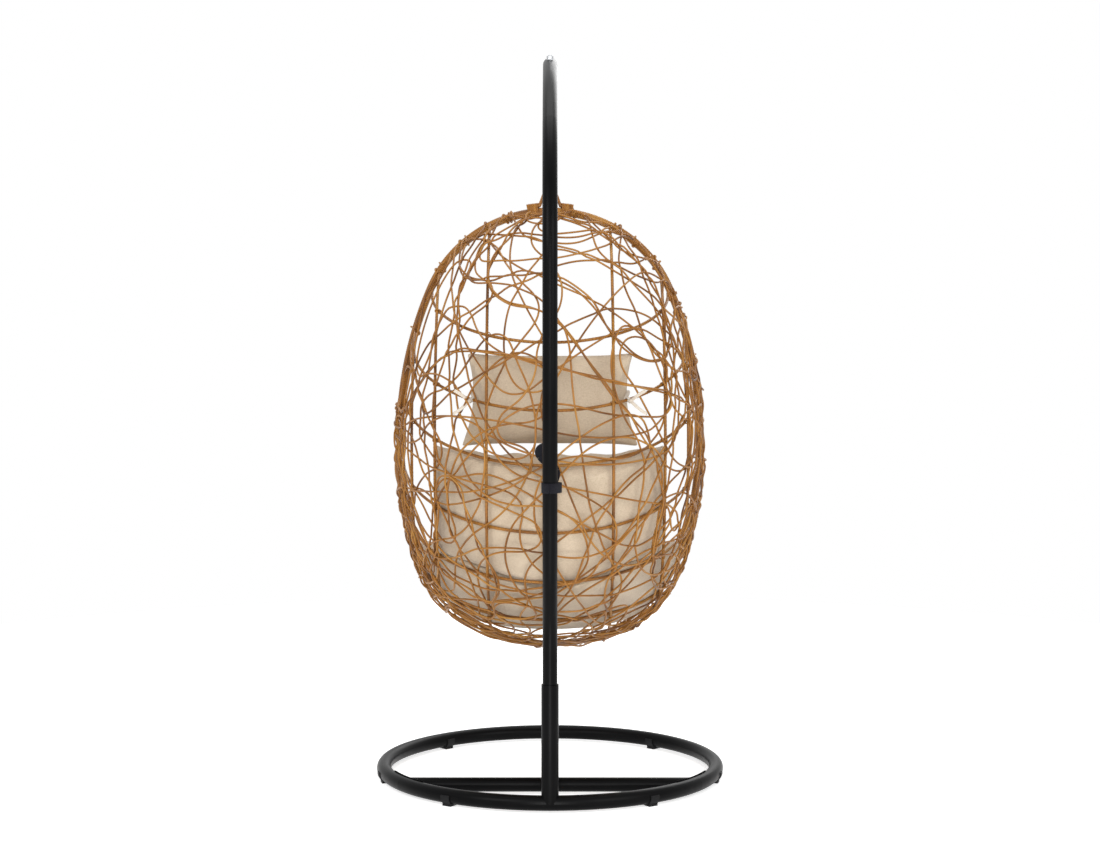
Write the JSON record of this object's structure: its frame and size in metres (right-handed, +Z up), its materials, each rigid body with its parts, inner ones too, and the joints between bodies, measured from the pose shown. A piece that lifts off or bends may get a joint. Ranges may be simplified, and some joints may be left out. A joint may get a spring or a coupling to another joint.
{
  "type": "hanging egg chair",
  "caption": "Open-weave wicker egg chair with seat, back and head cushions, hung by a chain from a bent steel pole on a round floor ring with a crossbar.",
  "frame": {"origin": "on the floor under the middle of the whole chair's bounding box, in the chair's mirror plane", "axes": "+Z up, +Y towards the open front of the chair, +X to the right of someone who looks at it from behind"},
  "size_m": [0.95, 1.12, 1.9604],
  "materials": {
    "powder_coat": "satin black powder coat with a fine grain",
    "black_plastic": "moulded",
    "zinc_steel": "bright zinc plate",
    "wicker": "round resin wicker strand in streaked honey brown",
    "canvas": "plain-woven beige polyester",
    "webbing": "flat charcoal webbing"
  },
  "bodies": {
    "stand": {"ring_rear": "powder_coat", "ring_front_left": "powder_coat", "ring_front_right": "powder_coat", "crossbar": "powder_coat", "saddle_plates": "powder_coat", "base_bolts": "powder_coat", "glides": "black_plastic", "pole_socket": "powder_coat", "lower_pole": "powder_coat", "upper_pole": "powder_coat", "arch_cap": "black_plastic", "eye_bolt": "zinc_steel", "eye_washer": "zinc_steel", "eye_nut": "zinc_steel", "strap_band": "webbing"},
    "upper_link": {"upper_hook": "zinc_steel", "upper_gate_pin": "zinc_steel", "strap_run": "webbing"},
    "upper_gate": {"upper_gate": "zinc_steel"},
    "chain": {"chain": "zinc_steel"},
    "basket": {"lower_hook": "zinc_steel", "lower_gate_pin": "zinc_steel", "basket_hanger": "wicker", "hanger_wraps": "wicker", "face_frame": "wicker", "hoops": "wicker", "ribs": "wicker", "weave_crown": "wicker", "weave_upper": "wicker", "weave_middle": "wicker", "weave_lower": "wicker", "weave_base": "wicker", "seat_cushion": "canvas", "back_cushion": "canvas", "head_pillow": "canvas", "pillow_ties": "canvas", "strap_rib_loop": "webbing"},
    "lower_gate": {"lower_gate": "zinc_steel"}
  },
  "joints": [
    {"name": "swing", "type": "hinge", "parent": "stand", "child": "upper_link", "pos_m": [0, 0.08657, 1.88456], "axis": [1, 0, 0], "range_deg": [-1.5, 6], "deforming": ["strap_run"]},
    {"name": "sway", "type": "hinge", "parent": "upper_link", "child": "chain", "pos_m": [0, 0.08657, 1.82986], "axis": [0, 1, 0], "range_deg": [-3, 3]},
    {"name": "spin", "type": "hinge", "parent": "chain", "child": "basket", "pos_m": [0, 0.08657, 1.66466], "axis": [0, 0, 1], "range_deg": [-4, 4]},
    {"name": "upper_gate_hinge", "type": "hinge", "parent": "upper_link", "child": "upper_gate", "pos_m": [-0.014, 0.08657, 1.84356], "axis": [0, 1, 0], "range_deg": [0, 25], "stiffness_Nm_per_rad": 0.02, "springref_deg": -20.05},
    {"name": "lower_gate_hinge", "type": "hinge", "parent": "basket", "child": "lower_gate", "pos_m": [0, 0.07257, 1.62366], "axis": [-1, 0, 0], "range_deg": [0, 25], "stiffness_Nm_per_rad": 0.02, "springref_deg": -20.05}
  ]
}
